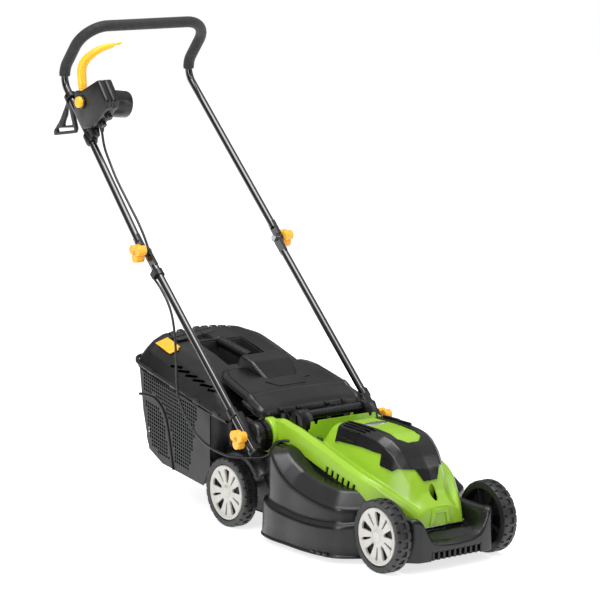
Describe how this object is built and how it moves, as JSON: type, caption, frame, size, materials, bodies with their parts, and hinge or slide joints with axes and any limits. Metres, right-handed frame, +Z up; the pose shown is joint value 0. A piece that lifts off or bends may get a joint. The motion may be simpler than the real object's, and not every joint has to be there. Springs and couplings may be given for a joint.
{
  "type": "push lawn mower",
  "caption": "Corded rotary push lawn mower with a moulded deck, folding U-shaped push handle, rear flap and a lift-off grass box.",
  "frame": {"origin": "on the ground, below the middle of the whole mower's width and length", "axes": "+Z up, +Y towards the person who pushes it, +X towards that person's left"},
  "size_m": [0.448, 1.337, 1.1104],
  "materials": {
    "black_plastic": "satin moulded",
    "grey_black_plastic": "satin moulded",
    "lime_plastic": "satin moulded",
    "yellow_plastic": "satin moulded",
    "cap_plastic": "silver-white moulded",
    "badge": "satin",
    "black_tube": "gloss black enamel",
    "foam": "matte foam",
    "steel": "zinc plated",
    "blade_steel": "ground",
    "pin_brass": "plated",
    "cable_sheath": "matte",
    "winding": "varnished copper and laminations"
  },
  "bodies": {
    "chassis": {"deck": "black_plastic", "motor_cowl": "lime_plastic", "cowl_trim": "black_plastic", "badge_plate": "badge", "carry_handle": "black_plastic", "motor_can": "steel", "motor_stator": "winding", "pivot_hub_right": "grey_black_plastic", "pivot_hub_left": "grey_black_plastic", "pivot_bolts": "steel", "cowl_screws": "steel", "flap_pin": "steel", "flap_springs": "steel", "cable_tail": "cable_sheath"},
    "front_axle_unit": {"front_axle": "steel", "front_wheel_nuts": "steel"},
    "rear_axle_unit": {"rear_axle": "steel", "rear_wheel_nuts": "steel"},
    "wheel_front_right_unit": {"wheel_front_right": "black_plastic", "hub_cap_front_right": "cap_plastic"},
    "wheel_front_left_unit": {"wheel_front_left": "black_plastic", "hub_cap_front_left": "cap_plastic"},
    "wheel_rear_right_unit": {"wheel_rear_right": "black_plastic", "hub_cap_rear_right": "cap_plastic"},
    "wheel_rear_left_unit": {"wheel_rear_left": "black_plastic", "hub_cap_rear_left": "cap_plastic"},
    "blade_unit": {"motor_rotor": "steel", "blade_carrier": "black_plastic", "blade": "blade_steel", "blade_bolt": "steel"},
    "flap_unit": {"rear_flap": "grey_black_plastic"},
    "grass_box": {"grass_basket": "black_plastic", "grass_lid": "grey_black_plastic", "grass_handle": "black_plastic", "grass_inset": "yellow_plastic"},
    "handle_lower": {"lower_tube_right": "black_tube", "lower_tube_left": "black_tube", "pivot_plate_right": "grey_black_plastic", "pivot_plate_left": "grey_black_plastic", "mid_bolts": "steel", "cable_clip": "black_plastic", "cable_lower": "cable_sheath"},
    "handle_upper": {"upper_tube": "black_tube", "foam_grip": "foam", "switch_case_outer": "black_plastic", "switch_case_inner": "black_plastic", "plug_shroud": "black_plastic", "plug_pins": "pin_brass", "switch_unit": "black_plastic", "cable_gland": "black_plastic", "cable_upper": "cable_sheath", "lever_pin": "steel"},
    "lever_unit": {"bail_lever": "yellow_plastic"},
    "button_unit": {"lock_button": "yellow_plastic"},
    "hook_unit": {"cord_hook": "black_plastic"},
    "knob_pivot_right_unit": {"knob_pivot_right": "yellow_plastic"},
    "knob_pivot_left_unit": {"knob_pivot_left": "yellow_plastic"},
    "knob_mid_right_unit": {"knob_mid_right": "yellow_plastic"},
    "knob_mid_left_unit": {"knob_mid_left": "yellow_plastic"}
  },
  "joints": [
    {"name": "front_height_slide", "type": "slide", "parent": "chassis", "child": "front_axle_unit", "axis": [0, 0, 1], "range_m": [-0.03, 0]},
    {"name": "rear_height_slide", "type": "slide", "parent": "chassis", "child": "rear_axle_unit", "axis": [0, 0, 1], "range_m": [-0.03, 0]},
    {"name": "wheel_front_right_spin", "type": "hinge", "parent": "front_axle_unit", "child": "wheel_front_right_unit", "pos_m": [-0.15, -0.5885, 0.08], "axis": [1, 0, 0], "continuous": true},
    {"name": "wheel_front_left_spin", "type": "hinge", "parent": "front_axle_unit", "child": "wheel_front_left_unit", "pos_m": [0.15, -0.5885, 0.08], "axis": [1, 0, 0], "continuous": true},
    {"name": "wheel_rear_right_spin", "type": "hinge", "parent": "rear_axle_unit", "child": "wheel_rear_right_unit", "pos_m": [-0.18, -0.0735, 0.08], "axis": [1, 0, 0], "continuous": true},
    {"name": "wheel_rear_left_spin", "type": "hinge", "parent": "rear_axle_unit", "child": "wheel_rear_left_unit", "pos_m": [0.18, -0.0735, 0.08], "axis": [1, 0, 0], "continuous": true},
    {"name": "blade_spin", "type": "hinge", "parent": "chassis", "child": "blade_unit", "pos_m": [0, -0.3625, 0.06], "axis": [0, 0, 1], "continuous": true},
    {"name": "flap_hinge", "type": "hinge", "parent": "chassis", "child": "flap_unit", "pos_m": [0, -0.1365, 0.268], "axis": [1, 0, 0], "range_deg": [0, 70], "stiffness_Nm_per_rad": 0.25, "springref_deg": -34.38},
    {"name": "grass_box_lift", "type": "slide", "parent": "chassis", "child": "grass_box", "axis": [0, 1, 0], "range_m": [0, 0.25]},
    {"name": "handle_fold", "type": "hinge", "parent": "chassis", "child": "handle_lower", "pos_m": [0, -0.1405, 0.218], "axis": [1, 0, 0], "range_deg": [0, 130]},
    {"name": "upper_fold", "type": "hinge", "parent": "handle_lower", "child": "handle_upper", "pos_m": [0, 0.2575, 0.59], "axis": [-1, 0, 0], "range_deg": [-135, 0]},
    {"name": "lever_squeeze", "type": "hinge", "parent": "handle_upper", "child": "lever_unit", "pos_m": [-0.185, 0.5315, 0.936], "axis": [-1, 0, 0], "range_deg": [0, 22], "stiffness_Nm_per_rad": 0.4, "springref_deg": -20.05},
    {"name": "button_press", "type": "slide", "parent": "handle_upper", "child": "button_unit", "axis": [1, 0, 0], "range_m": [0, 0.004], "stiffness_N_per_m": 900, "springref_m": -0.002},
    {"name": "hook_swivel", "type": "hinge", "parent": "handle_upper", "child": "hook_unit", "pos_m": [-0.1826, 0.5925, 0.925], "axis": [0, 0.7071, 0.7071], "range_deg": [-30, 30]},
    {"name": "knob_pivot_right_turn", "type": "hinge", "parent": "chassis", "child": "knob_pivot_right_unit", "pos_m": [-0.205, -0.1405, 0.218], "axis": [1, 0, 0], "continuous": true},
    {"name": "knob_pivot_left_turn", "type": "hinge", "parent": "chassis", "child": "knob_pivot_left_unit", "pos_m": [0.205, -0.1405, 0.218], "axis": [1, 0, 0], "continuous": true},
    {"name": "knob_mid_right_turn", "type": "hinge", "parent": "handle_lower", "child": "knob_mid_right_unit", "pos_m": [-0.21, 0.2575, 0.59], "axis": [1, 0, 0], "continuous": true},
    {"name": "knob_mid_left_turn", "type": "hinge", "parent": "handle_lower", "child": "knob_mid_left_unit", "pos_m": [0.21, 0.2575, 0.59], "axis": [1, 0, 0], "continuous": true}
  ]
}
